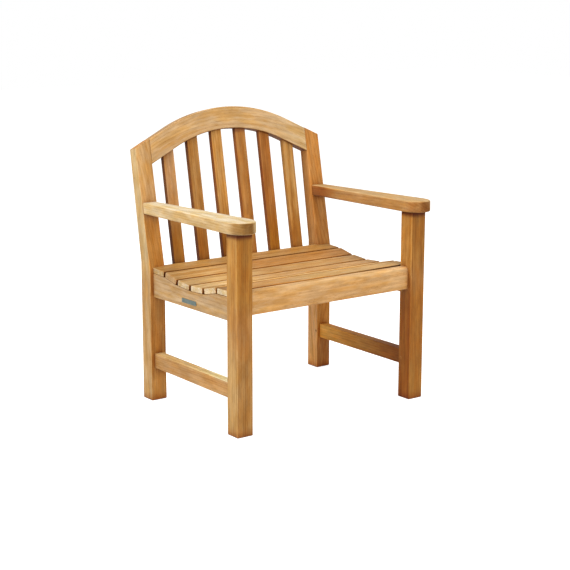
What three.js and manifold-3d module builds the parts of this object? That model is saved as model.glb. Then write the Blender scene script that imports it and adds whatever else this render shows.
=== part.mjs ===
// Teak garden armchair with an arched back and a dished, slatted seat.
// Millimetres, +Z up. The chair faces -Y and +X is on the viewer's right.
// Inside the chair, y = 0 is the front face of the front legs and z = 0 is the ground.

import * as THREE from 'three';
import { mergeVertices } from 'three/addons/utils/BufferGeometryUtils.js';
import Module from 'manifold-3d';

const wasm = await Module();
wasm.setup();

// Clearance left between two faces that meet, and how far a cutter runs past what it cuts
const fit = 0.3;
const overrun = 40;
const mergeTolerance = 0.0001;

// Frame
const frameWidth = 715.5;
const frameDepth = 525;
const overallHeight = 902.5;

// Legs and back posts
const legWidth = 55;
const legDepth = 53;
const legEase = 3;
const footEase = 2.5;
const bendHeight = 424;
const rearBendHeight = 440;
const rakeDegrees = 11.2;

// Crest rail
const crestHeight = 70;
const crestThickness = 34.5;
const crestEase = 3;
const archRadius = 541;
const archDegrees = 25.6;
const crestTenonDepth = 24;
const crestTenonHeight = 40;
const crestTenonThickness = 10;
const crestTenonDrop = 40;

// Back slats. The gap beside each post is a little narrower than the gaps between the slats.
const backSlatCount = 6;
const backEndGapShare = 0.9;
const backSlatWidth = 40;
const backSlatThickness = 17.5;
const backSlatEase = 2.5;
const backSlatHousing = 18;

// Rails under the seat
const tenonThickness = 12;
const tenonShoulder = 8;
const stubTenonDepth = 17;
const longTenonDepth = 26;
const railEase = 2;
const frontRailInset = 15.5;
const frontRailThickness = 30;
const frontRailBottom = 357;
const frontRailTop = 427;
const frontRailRound = 10;
const rearRailInset = 13.5;
const rearRailThickness = 30;
const rearRailBottom = 342;
const sideRailInset = 12.5;
const sideRailThickness = 28;
const sideRailBottomFront = 338;
const sideRailBottomRear = 334.5;

// Side stretchers
const stretcherInset = 12.5;
const stretcherThickness = 32;
const stretcherBottom = 106;
const stretcherTop = 153;

// Seat slats. The seat line falls from the back post to its lowest point and rises again:
// each share is how much of the dip is reached at the ends of the six slats, back to front.
const seatHeight = 427.5;
const seatDip = 19;
const seatDipShares = [ - 0.1, 0.1, 0.75, 1, 0.84, 0.08, 0 ];
const seatSlatCount = seatDipShares.length - 1;
const seatSlatThickness = 18;
const seatSlatGap = 9.5;
const seatSlatEase = 3;
const seatSlatEndEase = 2;
const seatFrontSetback = 59.5;
const seatRearReach = 14;
const seatFrontRound = 4;

// Arms
const armHeight = 636.5;
const armThickness = 34.5;
const armDrop = 8.5;
const armFrontOverhang = 20.75;
const armFrontWidth = 93.5;
const armRearInset = 1;
const armRearWidth = 52;
const armNose = 30.5;
const armNoseLength = 62;
const armEase = 4;
const armTenonDepth = 12;
const armTenonWidth = 24;
const armTenonHeight = 16;
const legTenonHeight = 18;
const legTenonWidth = 28;
const legTenonDepth = 26;

// Wooden pegs
const pegRadius = 4;
const pegFromShoulder = 7;
const pegCover = 12;
const highPegShare = 0.7;
const lowPegShare = 0.25;

// Arm screws and the plugs that cover them
const armScrewLength = 75;
const armScrewRadius = 3;
const armScrewHeadRadius = 5.5;
const armScrewHeadHeight = 3.5;
const armScrewTip = 8;
const plugRadius = 6.5;
const plugLength = 8;

// Seat screws
const seatScrewLength = 40;
const seatScrewBite = 12;
const seatScrewRadius = 2.25;
const seatScrewHeadRadius = 4.2;
const seatScrewHeadHeight = 2.6;
const seatScrewTip = 5;
const counterboreRadius = 5;

// Blank metal plate on the left side rail, and its pins
const plateLength = 78;
const plateHeight = 13.5;
const plateThickness = 1.2;
const plateCorner = 2.5;
const plateSetback = 269.5;
const plateAboveRail = 14;
const plateEdge = 0.3;
const pinRadius = 1;
const pinLength = 7;
const pinHeadRadius = 2;
const pinHeadHeight = 0.9;
const pinFromEnd = 6;

// How finely round stretches are drawn
const edgeSteps = 2;
const armEdgeSteps = 3;
const archSteps = 20;
const noseSteps = 8;
const rodSides = 12;
const quarterArcShare = 0.5523;

const sides = { left: - 1, right: 1 };
const rake = THREE.MathUtils.degToRad( rakeDegrees );
const archAngle = THREE.MathUtils.degToRad( archDegrees );
const halfWidth = frameWidth / 2;
const innerHalf = halfWidth - legWidth;
const postFront = frameDepth - legDepth;

const axisX = new THREE.Vector3( 1, 0, 0 );
const axisY = new THREE.Vector3( 0, 1, 0 );
const axisZ = new THREE.Vector3( 0, 0, 1 );

function wood( color, roughness ) {

	return new THREE.MeshStandardMaterial( { color, roughness, metalness: 0 } );

}

const legTeak = wood( 0xc98a3f, 0.6 );
const railTeak = wood( 0xdca75e, 0.6 );
const backTeak = wood( 0xc0803c, 0.6 );
const seatTeak = wood( 0xd9a35c, 0.6 );
const armTeak = wood( 0xe8c78c, 0.6 );
const pegTeak = wood( 0xa86f35, 0.7 );
const plateMetal = new THREE.MeshStandardMaterial( { color: 0x6f8791, roughness: 0.4, metalness: 0.8 } );
const screwMetal = new THREE.MeshStandardMaterial( { color: 0xb9bcc0, roughness: 0.35, metalness: 1 } );

// Solids

function toSolid( geometry ) {

	const bare = geometry.clone();
	bare.deleteAttribute( 'normal' );
	bare.deleteAttribute( 'uv' );
	const merged = mergeVertices( bare, mergeTolerance );
	const corners = merged.index.array;
	const triangles = [];
	for ( let i = 0; i < corners.length; i += 3 ) {

		const [ a, b, c ] = corners.slice( i, i + 3 );
		if ( a !== b && b !== c && c !== a ) triangles.push( a, b, c );

	}

	return new wasm.Manifold( new wasm.Mesh( {
		numProp: 3,
		vertProperties: new Float32Array( merged.attributes.position.array ),
		triVerts: new Uint32Array( triangles )
	} ) );

}

function toGeometry( solid ) {

	const { vertProperties, triVerts } = solid.getMesh();
	const geometry = new THREE.BufferGeometry();
	geometry.setAttribute( 'position', new THREE.BufferAttribute( vertProperties, 3 ) );
	geometry.setIndex( new THREE.BufferAttribute( triVerts, 1 ) );
	const facets = geometry.toNonIndexed();
	facets.computeVertexNormals();
	return facets;

}

function block( [ x0, x1 ], [ y0, y1 ], [ z0, z1 ], matrix = new THREE.Matrix4() ) {

	const geometry = new THREE.BoxGeometry( x1 - x0, y1 - y0, z1 - z0 );
	geometry.translate( ( x0 + x1 ) / 2, ( y0 + y1 ) / 2, ( z0 + z1 ) / 2 );
	return toSolid( geometry.applyMatrix4( matrix ) );

}

// An outline pulled from local z = 0 to z = depth, its end edges rounded by ease
function prism( outline, depth, ease, matrix, steps = edgeSteps, curveSteps = edgeSteps ) {

	const geometry = new THREE.ExtrudeGeometry( outline, {
		depth: depth - 2 * ease,
		bevelEnabled: ease > 0,
		bevelThickness: ease,
		bevelSize: ease,
		bevelOffset: - ease,
		bevelSegments: steps,
		curveSegments: curveSteps
	} );
	geometry.translate( 0, 0, ease );
	return toSolid( geometry.applyMatrix4( matrix ) );

}

// A round bar along a profile of [ radius, distance ] pairs, from a point in a direction
function turned( profile, start, direction ) {

	const points = profile.map( ( [ radius, distance ] ) => new THREE.Vector2( radius, distance ) );
	const geometry = new THREE.LatheGeometry( points, rodSides );
	const turn = new THREE.Quaternion().setFromUnitVectors( axisY, direction );
	geometry.applyQuaternion( turn );
	geometry.translate( start.x, start.y, start.z );
	return toSolid( geometry );

}

function rod( radius, start, direction, length ) {

	return turned( [ [ 0, 0 ], [ radius, 0 ], [ radius, length ], [ 0, length ] ], start, direction );

}

function screw( start, direction, { length, radius, headRadius, headHeight, tip } ) {

	return turned( [
		[ 0, 0 ],
		[ headRadius, 0 ],
		[ headRadius, headHeight / 2 ],
		[ radius, headHeight ],
		[ radius, length - tip ],
		[ 0, length ]
	], start, direction );

}

// A rectangle with rounded corners: one radius, or one each for low-low, high-low, high-high and low-high
function roundedRect( [ x0, x1 ], [ y0, y1 ], radii ) {

	const [ a, b, c, d ] = Array.isArray( radii ) ? radii : [ radii, radii, radii, radii ];
	const shape = new THREE.Shape();
	shape.moveTo( x0 + a, y0 );
	shape.lineTo( x1 - b, y0 );
	shape.absarc( x1 - b, y0 + b, b, - Math.PI / 2, 0 );
	shape.lineTo( x1, y1 - c );
	shape.absarc( x1 - c, y1 - c, c, 0, Math.PI / 2 );
	shape.lineTo( x0 + d, y1 );
	shape.absarc( x0 + d, y1 - d, d, Math.PI / 2, Math.PI );
	shape.lineTo( x0, y0 + a );
	shape.absarc( x0 + a, y0 + a, a, Math.PI, 3 * Math.PI / 2 );
	return shape;

}

function polygon( points ) {

	return new THREE.Shape( points.map( ( [ x, y ] ) => new THREE.Vector2( x, y ) ) );

}

function ordered( a, b ) {

	return [ Math.min( a, b ), Math.max( a, b ) ];

}

function centred( middle, size ) {

	return [ middle - size / 2, middle + size / 2 ];

}

function grown( [ low, high ], by = fit ) {

	return [ low - by, high + by ];

}

// Where a board inset from the outer face of the legs lies along X
function across( side, inset, thickness ) {

	return ordered( side * ( halfWidth - inset ), side * ( halfWidth - inset - thickness ) );

}

// Outlines drawn as [ y, z ] in the side view and pulled along +X from x0
function sideView( x0 ) {

	return new THREE.Matrix4().makeBasis( axisY, axisZ, axisX ).setPosition( x0, 0, 0 );

}

// The plane of the posts' raked front faces: x across, y up the rake from the bend, z out of the front
const rakeUp = new THREE.Vector3( 0, Math.sin( rake ), Math.cos( rake ) );
const rakeOut = new THREE.Vector3().crossVectors( axisX, rakeUp );
const backPlane = new THREE.Matrix4().makeBasis( axisX, rakeUp, rakeOut );
backPlane.setPosition( 0, postFront, bendHeight );

function onBackPlane( x, up, out ) {

	return new THREE.Vector3( x, up, out ).applyMatrix4( backPlane );

}

// The plane of the arms' undersides: x across, y towards the back, z square to the underside
const armTilt = Math.atan2( armDrop, postFront );
const armPlane = new THREE.Matrix4().makeRotationX( - armTilt );
armPlane.setPosition( 0, 0, armHeight - armThickness );

// The pieces, each kept as a solid in the chair's frame until it is placed

const pieces = new Map();

function addPiece( name, solid, material, group ) {

	pieces.set( name, { solid, material, group } );

}

function joinTo( name, solid ) {

	const piece = pieces.get( name );
	piece.solid = piece.solid.add( solid );

}

function cutFrom( name, solid ) {

	const piece = pieces.get( name );
	piece.solid = piece.solid.subtract( solid );

}

// A tenon on one piece and its mortise in another
function tenon( name, into, x, y, z, matrix ) {

	joinTo( name, block( x, y, z, matrix ) );
	cutFrom( into, block( grown( x ), grown( y ), grown( z ), matrix ) );

}

const groups = {};
for ( const name of [ 'frame', 'back', 'seat', 'arms', 'fixings' ] ) groups[ name ] = new THREE.Group();

// Arms

function armOutline( side ) {

	const outer = ( y ) => side * THREE.MathUtils.mapLinear(
		y, 0, postFront, halfWidth + armFrontOverhang, halfWidth - armRearInset );
	const inner = ( y ) => side * THREE.MathUtils.mapLinear(
		y, 0, postFront,
		halfWidth + armFrontOverhang - armFrontWidth,
		halfWidth - armRearInset - armRearWidth );
	const rear = postFront + overrun * 2;
	const start = armNoseLength - armNose;
	const handle = start - armNoseLength * quarterArcShare;
	const [ outerTip, innerTip ] = [ outer( - armNose ), inner( - armNose ) ];
	const tip = ( outerTip + innerTip ) / 2;
	const shape = new THREE.Shape();
	shape.moveTo( outer( rear ), rear );
	shape.lineTo( outer( start ), start );
	shape.bezierCurveTo(
		outer( handle ), handle,
		THREE.MathUtils.lerp( tip, outerTip, quarterArcShare ), - armNose,
		tip, - armNose );
	shape.bezierCurveTo(
		THREE.MathUtils.lerp( tip, innerTip, quarterArcShare ), - armNose,
		inner( handle ), handle,
		inner( start ), start );
	shape.lineTo( inner( rear ), rear );
	return shape;

}

// Everything behind the posts' front faces, less the clearance
function behindPosts() {

	return block(
		[ - frameWidth, frameWidth ], [ - bendHeight, overallHeight ], [ - frameDepth, fit ], backPlane );

}

function addArm( name, side ) {

	const board = prism( armOutline( side ), armThickness, armEase, armPlane, armEdgeSteps, noseSteps );
	addPiece( `arm_${ name }`, board.subtract( behindPosts() ), armTeak, 'arms' );

}

// Height of the arm's underside above the ground at a distance behind the leg's front face
function armUnderside( y ) {

	return armHeight - armThickness - y * Math.tan( armTilt );

}

// Where the middle of the arm meets the post's front face
const armMiddle = armUnderside( postFront ) + armThickness / 2;
const armEnd = postFront + ( armMiddle - bendHeight ) * Math.tan( rake );
const armEndCentre = THREE.MathUtils.mapLinear(
	armEnd, 0, postFront,
	halfWidth + armFrontOverhang - armFrontWidth / 2,
	halfWidth - armRearInset - armRearWidth / 2 );

// Front legs

function addFrontLeg( name, side ) {

	const [ x0, x1 ] = across( side, 0, legWidth );
	const section = roundedRect( [ x0, x1 ], [ 0, legDepth ], legEase );
	const post = prism( section, armHeight + overrun, footEase, new THREE.Matrix4() );
	const aboveLeg = block(
		grown( [ x0, x1 ], overrun ), [ - overrun, legDepth + overrun ], [ - fit, armHeight ], armPlane );
	addPiece( `front_leg_${ name }`, post.subtract( aboveLeg ), legTeak, 'frame' );

}

// Crest rail: an arc that runs on into straight ends, drawn on the raked plane

const crestTop = ( overallHeight - bendHeight ) / Math.cos( rake );
const archCentre = crestTop - archRadius;
const crestInnerRadius = archRadius - crestHeight;

// How far up the rake an edge of the crest lies at a distance from the middle
function crestEdge( radius, x ) {

	const bend = radius * Math.sin( archAngle );
	const distance = Math.abs( x );
	if ( distance <= bend ) return archCentre + Math.sqrt( radius ** 2 - x ** 2 );
	return archCentre + radius * Math.cos( archAngle ) - ( distance - bend ) * Math.tan( archAngle );

}

function arcOver( shape, radius, clockwise ) {

	const left = Math.PI / 2 + archAngle;
	const right = Math.PI / 2 - archAngle;
	if ( clockwise ) shape.absarc( 0, archCentre, radius, left, right, true );
	else shape.absarc( 0, archCentre, radius, right, left, false );

}

function crestOutline( end ) {

	const shape = new THREE.Shape();
	shape.moveTo( - end, crestEdge( crestInnerRadius, end ) );
	shape.lineTo( - end, crestEdge( archRadius, end ) );
	arcOver( shape, archRadius, true );
	shape.lineTo( end, crestEdge( archRadius, end ) );
	shape.lineTo( end, crestEdge( crestInnerRadius, end ) );
	arcOver( shape, crestInnerRadius, false );
	return shape;

}

// Everything above the line of the arch, which shapes the tops of the posts
function aboveArch() {

	const end = halfWidth + overrun;
	const sky = crestTop + overrun;
	const shape = polygon( [ [ end, crestEdge( archRadius, end ) ], [ end, sky ], [ - end, sky ] ] );
	shape.lineTo( - end, crestEdge( archRadius, end ) );
	arcOver( shape, archRadius, true );
	const reach = crestThickness + overrun * 2;
	const matrix = backPlane.clone().multiply( new THREE.Matrix4().makeTranslation( 0, 0, overrun - reach ) );
	return prism( shape, reach, 0, matrix, edgeSteps, archSteps );

}

function addCrest() {

	const matrix = backPlane.clone().multiply(
		new THREE.Matrix4().makeTranslation( 0, 0, - crestThickness ) );
	const board = prism(
		crestOutline( halfWidth ), crestThickness, crestEase, matrix, edgeSteps, archSteps );
	const between = block(
		[ fit - innerHalf, innerHalf - fit ], [ 0, overallHeight ], [ - frameDepth, frameDepth ], backPlane );
	addPiece( 'crest_rail', board.intersect( between ), backTeak, 'back' );

}

// Back posts: upright to the seat, then raked and tapering to the thickness of the crest rail

const postTopUp = crestEdge( archRadius, halfWidth - legWidth / 2 );
const postTopRear = onBackPlane( 0, postTopUp, - crestThickness );
const rearSlope = ( postTopRear.y - frameDepth ) / ( postTopRear.z - rearBendHeight );

function postRear( z ) {

	return frameDepth + ( z - rearBendHeight ) * rearSlope;

}

function postFace( z ) {

	return postFront + ( z - bendHeight ) * Math.tan( rake );

}

function addBackPost( name, side ) {

	const outline = polygon( [
		[ postFront, footEase ],
		[ postFront + footEase, 0 ],
		[ frameDepth - footEase, 0 ],
		[ frameDepth, footEase ],
		[ frameDepth, rearBendHeight ],
		[ postRear( overallHeight ), overallHeight ],
		[ postFace( overallHeight ), overallHeight ],
		[ postFront, bendHeight ]
	] );
	const [ x0 ] = across( side, 0, legWidth );
	const post = prism( outline, legWidth, legEase, sideView( x0 ) );
	addPiece( `back_post_${ name }`, post.subtract( aboveArch() ), legTeak, 'back' );

}

// Boards between the legs, left to right

function addCrossRail( name, y, z, radii, material, group ) {

	const end = innerHalf - fit;
	const board = prism( roundedRect( y, z, radii ), 2 * end, 0, sideView( - end ) );
	addPiece( name, board, material, group );

}

// Boards between the legs, front to back

function addSideBoard( name, outline, side, inset, thickness, material ) {

	const [ x0 ] = across( side, inset, thickness );
	const board = prism( outline, thickness, railEase, sideView( x0 ) );
	const between = block(
		[ - frameWidth, frameWidth ], [ legDepth + fit, postFront - fit ], [ - overrun, armHeight ] );
	addPiece( name, board.intersect( between ), material, 'frame' );

}

// Seat line: the slats' top faces lie along it, and the side rails' top edges follow underneath.
// The rearmost slat reaches back between the posts and is notched round them.

const seatRear = postFront - fit;
const seatPitch = ( seatRear - seatFrontSetback + seatSlatGap ) / seatSlatCount;
const seatSlats = Array.from( { length: seatSlatCount }, ( _, i ) => {

	const pitchRear = seatRear - i * seatPitch;
	const rear = i === 0 ? postFront + seatRearReach : pitchRear;
	const front = pitchRear - seatPitch + seatSlatGap;
	const rearTop = seatHeight - seatDip * seatDipShares[ i ];
	const frontTop = seatHeight - seatDip * seatDipShares[ i + 1 ];
	const slope = Math.atan2( rearTop - frontTop, rear - front );
	return { rear, front, rearTop, frontTop, slope, isFront: i === seatSlatCount - 1 };

} );

function addSeatSlat( slat, i ) {

	const width = ( slat.rear - slat.front ) / Math.cos( slat.slope );
	const frontRound = slat.isFront ? seatFrontRound : seatSlatEase;
	const radii = [ seatSlatEase, seatSlatEase, seatSlatEase, frontRound ];
	const section = roundedRect( [ 0, width ], [ - seatSlatThickness, 0 ], radii );
	const end = halfWidth - sideRailInset;
	const tilt = new THREE.Matrix4().makeRotationX( slat.slope );
	tilt.setPosition( 0, slat.front, slat.frontTop );
	const board = prism( section, 2 * end, seatSlatEndEase, tilt.multiply( sideView( - end ) ) );
	addPiece( `seat_slat_${ i + 1 }`, board, seatTeak, 'seat' );

}

function notchRearSlat( side ) {

	const beside = ordered( side * ( innerHalf - fit ), side * frameWidth );
	cutFrom( 'seat_slat_1', block( beside, [ seatRear, frameDepth ], [ 0, armHeight ] ) );

}

function sideRailOutline() {

	const top = seatSlats.flatMap( ( { rear, front, rearTop, frontTop, slope } ) => {

		const drop = seatSlatThickness / Math.cos( slope ) + fit;
		return [ [ rear, rearTop - drop ], [ front, frontTop - drop ] ];

	} );
	const first = top[ 0 ];
	const last = top[ top.length - 1 ];
	return polygon( [
		[ - overrun, sideRailBottomFront ],
		[ 0, sideRailBottomFront ],
		[ postFront, sideRailBottomRear ],
		[ frameDepth, sideRailBottomRear ],
		[ frameDepth, first[ 1 ] ],
		...top,
		[ - overrun, last[ 1 ] ]
	] );

}

// Rear rail: its top carries the rearmost seat slat

const rearRailY = [ frameDepth - rearRailInset - rearRailThickness, frameDepth - rearRailInset ];
const rearSlat = seatSlats[ 0 ];
const rearSlatTop = rearSlat.rearTop - ( rearSlat.rear - rearRailY[ 0 ] ) * Math.tan( rearSlat.slope );
const rearRailTop = rearSlatTop - seatSlatThickness / Math.cos( rearSlat.slope ) - fit;

// Back slats: from the rear rail up into the underside of the crest

const slatFoot = new THREE.Vector3( 0, ( rearRailY[ 0 ] + rearRailY[ 1 ] ) / 2, rearRailTop );
const slatHead = onBackPlane( 0, crestEdge( crestInnerRadius, 0 ), - crestThickness / 2 );
const slatUp = slatHead.clone().sub( slatFoot ).normalize();
const slatOut = new THREE.Vector3().crossVectors( axisX, slatUp );
const slatPlane = new THREE.Matrix4().makeBasis( slatOut, axisX, slatUp ).setPosition( slatFoot );
const backSlatGaps = backSlatCount - 1 + 2 * backEndGapShare;
const backSlatGap = ( 2 * innerHalf - backSlatCount * backSlatWidth ) / backSlatGaps;
const backSlatPitch = backSlatWidth + backSlatGap;

function addBackSlat( i ) {

	const x = ( i - ( backSlatCount - 1 ) / 2 ) * backSlatPitch;
	const underside = onBackPlane( x, crestEdge( crestInnerRadius, x ), - crestThickness / 2 );
	const reach = underside.sub( slatFoot ).dot( slatUp );
	const y = centred( x, backSlatWidth );
	const thickness = centred( 0, backSlatThickness );
	const matrix = slatPlane.clone().multiply(
		new THREE.Matrix4().makeTranslation( 0, 0, - backSlatHousing ) );
	const section = roundedRect( thickness, y, backSlatEase );
	const slat = prism( section, reach + 2 * backSlatHousing, 0, matrix );
	addPiece( `back_slat_${ i + 1 }`, slat, backTeak, 'back' );
	const housing = block(
		grown( thickness ), grown( y ), [ - backSlatHousing - fit, reach + backSlatHousing + fit ], slatPlane );
	cutFrom( 'rear_rail', housing );
	cutFrom( 'crest_rail', housing );

}

// Pegs, screws and pins

function addPeg( name, start, direction, length, owners ) {

	addPiece( name, rod( pegRadius, start, direction, length ), pegTeak, 'fixings' );
	const mouth = start.clone().addScaledVector( direction, - overrun );
	const hole = rod( pegRadius + fit, mouth, direction, length + overrun + fit );
	for ( const owner of owners ) cutFrom( owner, hole );

}

const armScrew = {
	length: armScrewLength,
	radius: armScrewRadius,
	headRadius: armScrewHeadRadius,
	headHeight: armScrewHeadHeight,
	tip: armScrewTip
};
const seatScrew = {
	length: seatScrewLength,
	radius: seatScrewRadius,
	headRadius: seatScrewHeadRadius,
	headHeight: seatScrewHeadHeight,
	tip: seatScrewTip
};

// The hole for a screw: a wider bore for the head behind it and a close one along the shank
function screwHole( start, direction, shape, boreRadius ) {

	const mouth = start.clone().addScaledVector( direction, - overrun * 2 );
	const head = rod( boreRadius, mouth, direction, overrun * 2 + shape.headHeight + fit );
	return head.add( rod( shape.radius + fit, start, direction, shape.length + fit ) );

}

function addArmScrew( name, side ) {

	const forward = axisY.clone().negate();
	const face = postRear( armMiddle );
	const x = side * armEndCentre;
	const slant = plugRadius * Math.abs( rearSlope );
	const seat = face - slant - plugLength - fit;
	const start = new THREE.Vector3( x, seat, armMiddle );
	addPiece( `arm_screw_${ name }`, screw( start, forward, armScrew ), screwMetal, 'fixings' );
	const hole = screwHole( start, forward, armScrew, plugRadius + fit );
	for ( const owner of [ `back_post_${ name }`, `arm_${ name }`, 'crest_rail' ] ) cutFrom( owner, hole );
	const plugStart = new THREE.Vector3( x, face - slant, armMiddle );
	addPiece( `arm_plug_${ name }`, rod( plugRadius, plugStart, forward, plugLength ), pegTeak, 'fixings' );

}

function addSeatScrew( name, side, slat, i ) {

	const x = side * ( halfWidth - sideRailInset - sideRailThickness / 2 );
	const y = ( slat.rear + slat.front ) / 2;
	const top = ( slat.rearTop + slat.frontTop ) / 2;
	const underside = top - seatSlatThickness / Math.cos( slat.slope );
	const start = new THREE.Vector3( x, y, underside + seatScrewBite - seatScrewLength );
	addPiece( `seat_screw_${ name }_${ i + 1 }`, screw( start, axisZ, seatScrew ), screwMetal, 'fixings' );
	const hole = screwHole( start, axisZ, seatScrew, counterboreRadius );
	cutFrom( `side_rail_${ name }`, hole );
	cutFrom( `seat_slat_${ i + 1 }`, hole );

}

function addPlate() {

	const face = - halfWidth + sideRailInset - fit;
	const slope = Math.atan2( sideRailBottomRear - sideRailBottomFront, postFront );
	const height = THREE.MathUtils.mapLinear(
		plateSetback, 0, postFront, sideRailBottomFront, sideRailBottomRear );
	const middle = new THREE.Vector3( 0, plateSetback, height + plateAboveRail + plateHeight / 2 );
	const lie = new THREE.Matrix4().makeRotationX( slope ).setPosition( middle );
	const outline = roundedRect( centred( 0, plateLength ), centred( 0, plateHeight ), plateCorner );
	const matrix = lie.clone().multiply( sideView( face - plateThickness ) );
	addPiece( 'plate', prism( outline, plateThickness, plateEdge, matrix ), plateMetal, 'fixings' );
	const pins = { front: - 1, rear: 1 };
	for ( const [ name, end ] of Object.entries( pins ) ) {

		const distance = end * ( plateLength / 2 - pinFromEnd );
		const start = new THREE.Vector3( face - plateThickness - fit - pinHeadHeight, distance, 0 );
		start.applyMatrix4( lie );
		const pin = turned( [
			[ 0, 0 ],
			[ pinHeadRadius / 2, 0 ],
			[ pinHeadRadius, pinHeadHeight / 2 ],
			[ pinHeadRadius, pinHeadHeight ],
			[ pinRadius, pinHeadHeight ],
			[ pinRadius, pinLength ],
			[ 0, pinLength ]
		], start, axisX );
		addPiece( `plate_pin_${ name }`, pin, plateMetal, 'fixings' );
		const hole = rod( pinRadius + fit, start, axisX, pinLength + fit );
		cutFrom( 'plate', hole );
		cutFrom( 'side_rail_left', hole );

	}

}

// The frame's boards

addCrest();
for ( const [ name, side ] of Object.entries( sides ) ) {

	addFrontLeg( name, side );
	addBackPost( name, side );
	addArm( name, side );
	addSideBoard(
		`side_rail_${ name }`, sideRailOutline(), side, sideRailInset, sideRailThickness, railTeak );
	const stretcher = polygon( [
		[ - overrun, stretcherBottom ],
		[ frameDepth, stretcherBottom ],
		[ frameDepth, stretcherTop ],
		[ - overrun, stretcherTop ]
	] );
	addSideBoard(
		`side_stretcher_${ name }`, stretcher, side, stretcherInset, stretcherThickness, railTeak );

}

const frontRailY = [ frontRailInset, frontRailInset + frontRailThickness ];
addCrossRail(
	'front_rail', frontRailY, [ frontRailBottom, frontRailTop ],
	[ railEase, railEase, railEase, frontRailRound ], railTeak, 'frame' );
addCrossRail(
	'rear_rail', rearRailY, [ rearRailBottom, rearRailTop ], railEase, railTeak, 'back' );
for ( let i = 0; i < backSlatCount; i ++ ) addBackSlat( i );
seatSlats.forEach( addSeatSlat );

// The joints, each a tenon in its mortise with a peg through both

for ( const [ name, side ] of Object.entries( sides ) ) {

	const inward = axisX.clone().multiplyScalar( - side );
	const outward = axisX.clone().multiplyScalar( side );
	const frontLeg = `front_leg_${ name }`;
	const backPost = `back_post_${ name }`;
	const inner = side * innerHalf;

	// Front and rear rails: stub tenons into the inner faces of the legs
	const crossRails = [
		[ 'front_rail', frontLeg, frontRailY, [ frontRailBottom, frontRailTop ], legDepth, - 1 ],
		[ 'rear_rail', backPost, rearRailY, [ rearRailBottom, rearRailTop ], postFront, 1 ]
	];
	for ( const [ rail, leg, [ y0, y1 ], [ z0, z1 ], mouth, turn ] of crossRails ) {

		const x = ordered( inner - side * 2 * fit, inner + side * stubTenonDepth );
		const z = [ z0 + tenonShoulder, z1 - tenonShoulder ];
		tenon( rail, leg, x, centred( ( y0 + y1 ) / 2, tenonThickness ), z );
		const pegHeight = THREE.MathUtils.lerp( z0, z1, highPegShare );
		const start = new THREE.Vector3( inner + side * pegFromShoulder, mouth, pegHeight );
		const direction = axisY.clone().multiplyScalar( turn );
		addPeg( `peg_${ rail }_${ name }`, start, direction, legDepth - pegCover, [ rail, leg ] );

	}

	// Side rails and stretchers: long tenons into the facing sides of the legs
	const railCentre = side * ( halfWidth - sideRailInset - sideRailThickness / 2 );
	const stretcherCentre = side * ( halfWidth - stretcherInset - stretcherThickness / 2 );
	const stretcherZ = [ stretcherBottom + tenonShoulder, stretcherTop - tenonShoulder ];
	const stretcherPegHeight = ( stretcherBottom + stretcherTop ) / 2;
	const railFrontTop = seatSlats[ seatSlatCount - 1 ].frontTop - seatSlatThickness;
	const railRearTop = seatSlats[ 0 ].rearTop - seatSlatThickness;
	const sideBoards = [
		{
			board: 'side_rail',
			x: railCentre,
			frontZ: [ sideRailBottomFront + railEase, railFrontTop - tenonShoulder ],
			frontPeg: frontRailBottom - pegRadius * 2,
			rearZ: [ sideRailBottomRear + tenonShoulder, railRearTop - tenonShoulder ],
			rearPeg: THREE.MathUtils.lerp( rearRailBottom, rearRailTop, lowPegShare )
		},
		{
			board: 'side_stretcher',
			x: stretcherCentre,
			frontZ: stretcherZ,
			frontPeg: stretcherPegHeight,
			rearZ: stretcherZ,
			rearPeg: stretcherPegHeight
		}
	];
	for ( const { board, x, frontZ, frontPeg, rearZ, rearPeg } of sideBoards ) {

		const node = `${ board }_${ name }`;
		const width = centred( x, tenonThickness );
		tenon( node, frontLeg, width, [ legDepth - longTenonDepth, legDepth + 2 * fit ], frontZ );
		tenon( node, backPost, width, [ postFront - 2 * fit, postFront + longTenonDepth ], rearZ );
		const length = Math.abs( inner - x ) + tenonThickness;
		const frontStart = new THREE.Vector3( inner, legDepth - pegFromShoulder - pegRadius, frontPeg );
		const rearStart = new THREE.Vector3( inner, postFront + pegFromShoulder, rearPeg );
		addPeg( `peg_${ board }_front_${ name }`, frontStart, outward, length, [ node, frontLeg ] );
		addPeg( `peg_${ board }_rear_${ name }`, rearStart, outward, length, [ node, backPost ] );

	}

	// Crest rail: thin tenons into the posts, pegged from behind
	const crestX = ordered( inner - side * 2 * fit, inner + side * crestTenonDepth );
	const crestHigh = crestEdge( archRadius, innerHalf ) - crestTenonDrop / 2;
	const crestUp = [ crestHigh - crestTenonHeight, crestHigh ];
	const crestOut = centred( - crestThickness / 2, crestTenonThickness );
	tenon( 'crest_rail', backPost, crestX, crestUp, crestOut, backPlane );
	const crestPegX = inner + side * pegFromShoulder * 2;
	const behind = onBackPlane( crestPegX, ( crestUp[ 0 ] + crestUp[ 1 ] ) / 2, - crestThickness );
	addPeg(
		`peg_crest_rail_${ name }`, behind, rakeOut, crestThickness - pegCover / 2,
		[ 'crest_rail', backPost ] );

	// Arms: a tenon on the leg runs up into the arm, and the arm's own tenon runs into the post
	const arm = `arm_${ name }`;
	const legX = centred( side * ( halfWidth - legWidth / 2 ), legTenonWidth );
	const legY = centred( legDepth / 2, legTenonDepth );
	tenon( frontLeg, arm, legX, legY, [ - 2 * fit, legTenonHeight ], armPlane );
	const armX = centred( side * armEndCentre, armTenonWidth );
	const armZ = centred( armThickness / 2, armTenonHeight );
	tenon( arm, backPost, armX, [ armEnd - armTenonDepth, armEnd + armTenonDepth ], armZ, armPlane );
	addArmScrew( name, side );
	notchRearSlat( side );
	seatSlats.forEach( ( slat, i ) => addSeatScrew( name, side, slat, i ) );

}

addPlate();

// The chair, with each piece placed by the middle of its own foot, and the whole centred on the origin

const chair = new THREE.Group();
for ( const group of Object.values( groups ) ) chair.add( group );

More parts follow.
